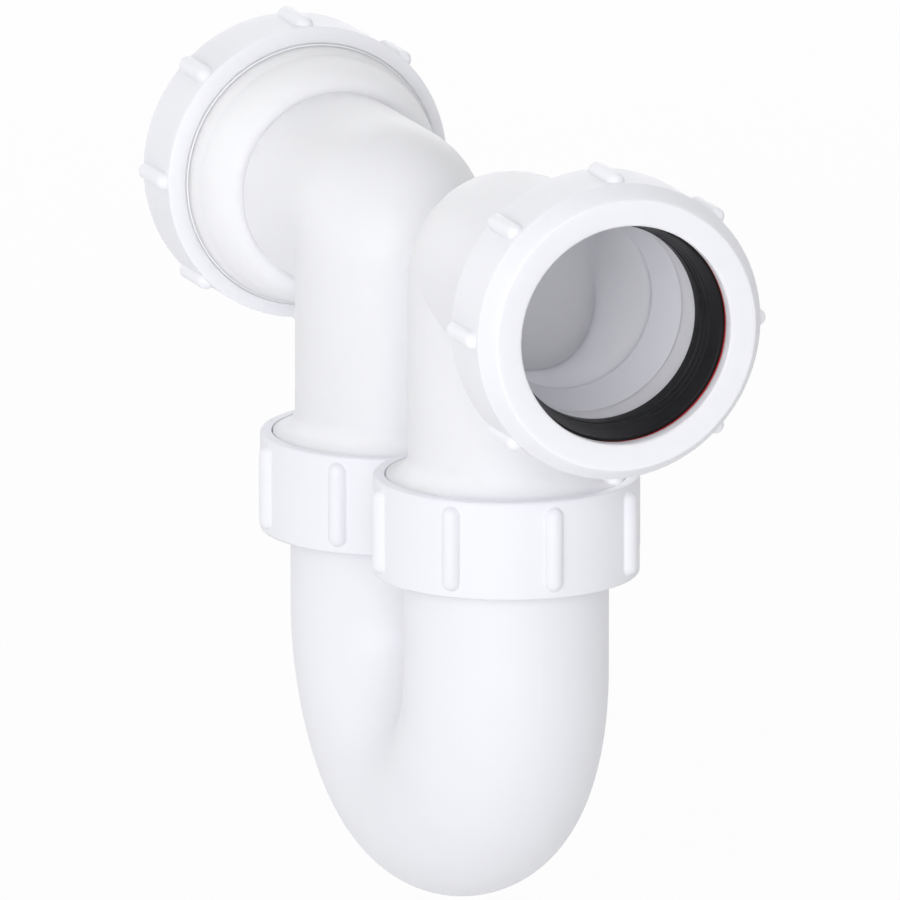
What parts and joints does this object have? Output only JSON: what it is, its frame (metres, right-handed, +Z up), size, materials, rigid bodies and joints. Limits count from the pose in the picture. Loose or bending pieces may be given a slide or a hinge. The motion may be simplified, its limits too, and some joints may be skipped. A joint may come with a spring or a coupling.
{
  "type": "running trap",
  "caption": "Tubular running trap: a U-bend water seal with a swivel elbow on each limb, ribbed union nuts and a compression pipe socket at inlet and outlet.",
  "frame": {"origin": "centre of the inlet pipe socket at its pipe stop", "axes": "+X along the inlet socket's axis, out of its mouth; +Z up, with both limbs of the bend in the XZ plane"},
  "size_m": [0.2158, 0.0688, 0.1815],
  "materials": {
    "white_plastic": "satin moulded",
    "black_rubber": "matte",
    "red_plastic": "matte"
  },
  "bodies": {
    "inlet_elbow": {"inlet_elbow": "white_plastic", "inlet_pipe_seal": "black_rubber"},
    "inlet_slip_washer": {"inlet_slip_washer": "red_plastic"},
    "inlet_pipe_nut": {"inlet_pipe_nut": "white_plastic"},
    "inlet_union_nut": {"inlet_union_nut": "white_plastic"},
    "u_bend": {"u_bend": "white_plastic", "inlet_union_washer": "black_rubber", "outlet_union_washer": "black_rubber"},
    "outlet_elbow": {"outlet_elbow": "white_plastic", "outlet_pipe_seal": "black_rubber"},
    "outlet_union_nut": {"outlet_union_nut": "white_plastic"},
    "outlet_slip_washer": {"outlet_slip_washer": "red_plastic"},
    "outlet_pipe_nut": {"outlet_pipe_nut": "white_plastic"}
  },
  "joints": [
    {"name": "inlet_swivel", "type": "hinge", "parent": "inlet_elbow", "child": "u_bend", "pos_m": [-0.0379, 0, -0.053], "axis": [0, 0, 1], "range_deg": [-90, 90]},
    {"name": "outlet_swivel", "type": "hinge", "parent": "u_bend", "child": "outlet_elbow", "pos_m": [-0.1079, 0, -0.0587], "axis": [0, 0, 1], "range_deg": [-90, 90]},
    {"name": "inlet_union_turn", "type": "hinge", "parent": "inlet_elbow", "child": "inlet_union_nut", "pos_m": [-0.0379, 0, -0.0571], "axis": [0, 0, 1], "continuous": true},
    {"name": "outlet_union_turn", "type": "hinge", "parent": "outlet_elbow", "child": "outlet_union_nut", "pos_m": [-0.1079, 0, -0.0628], "axis": [0, 0, 1], "continuous": true},
    {"name": "inlet_nut_travel", "type": "slide", "parent": "inlet_elbow", "child": "inlet_slip_washer", "axis": [1, 0, 0], "range_m": [0, 0.006]},
    {"name": "inlet_nut_turn", "type": "hinge", "parent": "inlet_slip_washer", "child": "inlet_pipe_nut", "pos_m": [0.0238, 0, 0], "axis": [1, 0, 0], "range_deg": [0, 722]},
    {"name": "outlet_nut_travel", "type": "slide", "parent": "outlet_elbow", "child": "outlet_slip_washer", "axis": [-1, 0, 0], "range_m": [0, 0.006]},
    {"name": "outlet_nut_turn", "type": "hinge", "parent": "outlet_slip_washer", "child": "outlet_pipe_nut", "pos_m": [-0.1696, 0, -0.0057], "axis": [-1, 0, 0], "range_deg": [0, 722]}
  ],
  "couplings": [
    {"joint": "inlet_nut_turn", "follows": "inlet_nut_travel", "rad_per_m": 2094.4},
    {"joint": "outlet_nut_turn", "follows": "outlet_nut_travel", "rad_per_m": 2094.4}
  ]
}
